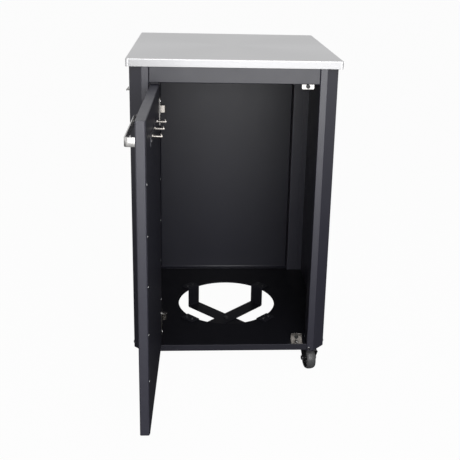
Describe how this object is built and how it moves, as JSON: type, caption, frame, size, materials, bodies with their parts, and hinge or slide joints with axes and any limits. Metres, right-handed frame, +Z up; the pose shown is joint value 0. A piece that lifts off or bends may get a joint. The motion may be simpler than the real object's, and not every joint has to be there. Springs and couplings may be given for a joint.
{
  "type": "grill cart with storage",
  "caption": "Steel cabinet cart on casters with a stainless worktop, an inset door with handle and tool hooks, and a round gas bottle cut-out with a strap cradle in its floor.",
  "frame": {"origin": "on the ground under the middle of the whole cart's box, with the door open as at rest", "axes": "+X to the right seen from the front, +Y from the door to the back, +Z up"},
  "size_m": [0.6244, 1.114, 0.975],
  "materials": {
    "stainless_top": "satin brushed",
    "hidden_steel": "plain",
    "cabinet_coat": "fine satin powder coat",
    "door_coat": "fine satin powder coat",
    "inner_coat": "satin powder coat",
    "rail_coat": "satin powder coat",
    "strap_coat": "satin powder coat",
    "catch_steel": "bright nickel",
    "magnet_dark": "matte",
    "hinge_nickel": "satin nickel",
    "black_screw": "satin black",
    "bright_screw": "bright zinc",
    "handle_metal": "bright nickel or chrome",
    "hook_metal": "bright nickel",
    "side_hook_metal": "bright nickel",
    "caster_black": "satin black",
    "caster_zinc": "zinc",
    "wheel_plastic": "moulded",
    "tyre_rubber": "matte",
    "pedal_plastic": "moulded"
  },
  "bodies": {
    "cart_frame": {"worktop": "stainless_top", "worktop_stiffeners": "hidden_steel", "caster_socket_plates": "hidden_steel", "front_top_rail": "cabinet_coat", "rear_top_rail": "cabinet_coat", "side_top_rails": "cabinet_coat", "base_side_rails": "cabinet_coat", "side_panel_left": "cabinet_coat", "side_panel_right": "cabinet_coat", "back_panel": "inner_coat", "floor_panel": "inner_coat", "tank_strap_upper": "strap_coat", "tank_strap_lower": "strap_coat", "cradle_bolt": "black_screw", "strap_screws": "black_screw", "strap_nuts": "black_screw", "top_catch_bracket": "catch_steel", "bottom_catch_bracket": "catch_steel", "catch_magnets": "magnet_dark", "bracket_screws": "bright_screw", "hinge_arms": "hinge_nickel", "side_hook": "side_hook_metal", "outside_screws": "black_screw", "top_screws": "black_screw", "caster_stems": "caster_zinc", "post_front_left": "cabinet_coat", "post_front_right": "cabinet_coat", "post_rear_left": "cabinet_coat", "post_rear_right": "cabinet_coat"},
    "door": {"door_outer_panel": "door_coat", "door_inner_panel": "inner_coat", "door_rivets": "bright_screw", "door_plate_screws": "bright_screw", "handle": "handle_metal", "handle_screws": "black_screw", "hook_rail": "rail_coat", "door_hooks": "hook_metal", "hinge_door_plates": "hinge_nickel", "hinge_pins": "hinge_nickel"},
    "caster_front_left_swivel": {"caster_front_left_fork": "caster_black", "caster_front_left_axle": "caster_zinc", "caster_front_left_brake_pin": "caster_zinc"},
    "caster_front_left_roller": {"caster_front_left_wheel": "wheel_plastic", "caster_front_left_tyre": "tyre_rubber"},
    "caster_front_left_pedal": {"caster_front_left_brake_pedal": "pedal_plastic"},
    "caster_front_right_swivel": {"caster_front_right_fork": "caster_black", "caster_front_right_axle": "caster_zinc", "caster_front_right_brake_pin": "caster_zinc"},
    "caster_front_right_roller": {"caster_front_right_wheel": "wheel_plastic", "caster_front_right_tyre": "tyre_rubber"},
    "caster_front_right_pedal": {"caster_front_right_brake_pedal": "pedal_plastic"},
    "caster_rear_left_swivel": {"caster_rear_left_fork": "caster_black", "caster_rear_left_axle": "caster_zinc"},
    "caster_rear_left_roller": {"caster_rear_left_wheel": "wheel_plastic", "caster_rear_left_tyre": "tyre_rubber"},
    "caster_rear_right_swivel": {"caster_rear_right_fork": "caster_black", "caster_rear_right_axle": "caster_zinc"},
    "caster_rear_right_roller": {"caster_rear_right_wheel": "wheel_plastic", "caster_rear_right_tyre": "tyre_rubber"}
  },
  "joints": [
    {"name": "door_swing", "type": "hinge", "parent": "cart_frame", "child": "door", "pos_m": [-0.21525, -0.09483, 0.50525], "axis": [0, 0, 1], "range_deg": [-9, 91]},
    {"name": "caster_front_left_turn", "type": "hinge", "parent": "cart_frame", "child": "caster_front_left_swivel", "pos_m": [-0.24125, -0.07783, 0.077], "axis": [0, 0, 1], "continuous": true},
    {"name": "caster_front_left_roll", "type": "hinge", "parent": "caster_front_left_swivel", "child": "caster_front_left_roller", "pos_m": [-0.23958, -0.06191, 0.0355], "axis": [0.9945, -0.1045, 0], "continuous": true},
    {"name": "caster_front_left_brake", "type": "hinge", "parent": "caster_front_left_swivel", "child": "caster_front_left_pedal", "pos_m": [-0.23639, -0.03161, 0.06293], "axis": [0.9945, -0.1045, 0], "range_deg": [0, 20]},
    {"name": "caster_front_right_turn", "type": "hinge", "parent": "cart_frame", "child": "caster_front_right_swivel", "pos_m": [0.26575, -0.07783, 0.077], "axis": [0, 0, 1], "continuous": true},
    {"name": "caster_front_right_roll", "type": "hinge", "parent": "caster_front_right_swivel", "child": "caster_front_right_roller", "pos_m": [0.26338, -0.062, 0.0355], "axis": [0.989, 0.1478, 0], "continuous": true},
    {"name": "caster_front_right_brake", "type": "hinge", "parent": "caster_front_right_swivel", "child": "caster_front_right_pedal", "pos_m": [0.25888, -0.03187, 0.06293], "axis": [0.989, 0.1478, 0], "range_deg": [0, 20]},
    {"name": "caster_rear_left_turn", "type": "hinge", "parent": "cart_frame", "child": "caster_rear_left_swivel", "pos_m": [-0.24125, 0.50517, 0.077], "axis": [0, 0, 1], "continuous": true},
    {"name": "caster_rear_left_roll", "type": "hinge", "parent": "caster_rear_left_swivel", "child": "caster_rear_left_roller", "pos_m": [-0.2443, 0.52088, 0.0355], "axis": [0.9816, 0.1908, 0], "continuous": true},
    {"name": "caster_rear_right_turn", "type": "hinge", "parent": "cart_frame", "child": "caster_rear_right_swivel", "pos_m": [0.26575, 0.50517, 0.077], "axis": [0, 0, 1], "continuous": true},
    {"name": "caster_rear_right_roll", "type": "hinge", "parent": "caster_rear_right_swivel", "child": "caster_rear_right_roller", "pos_m": [0.26825, 0.52098, 0.0355], "axis": [0.9877, -0.1564, 0], "continuous": true}
  ]
}
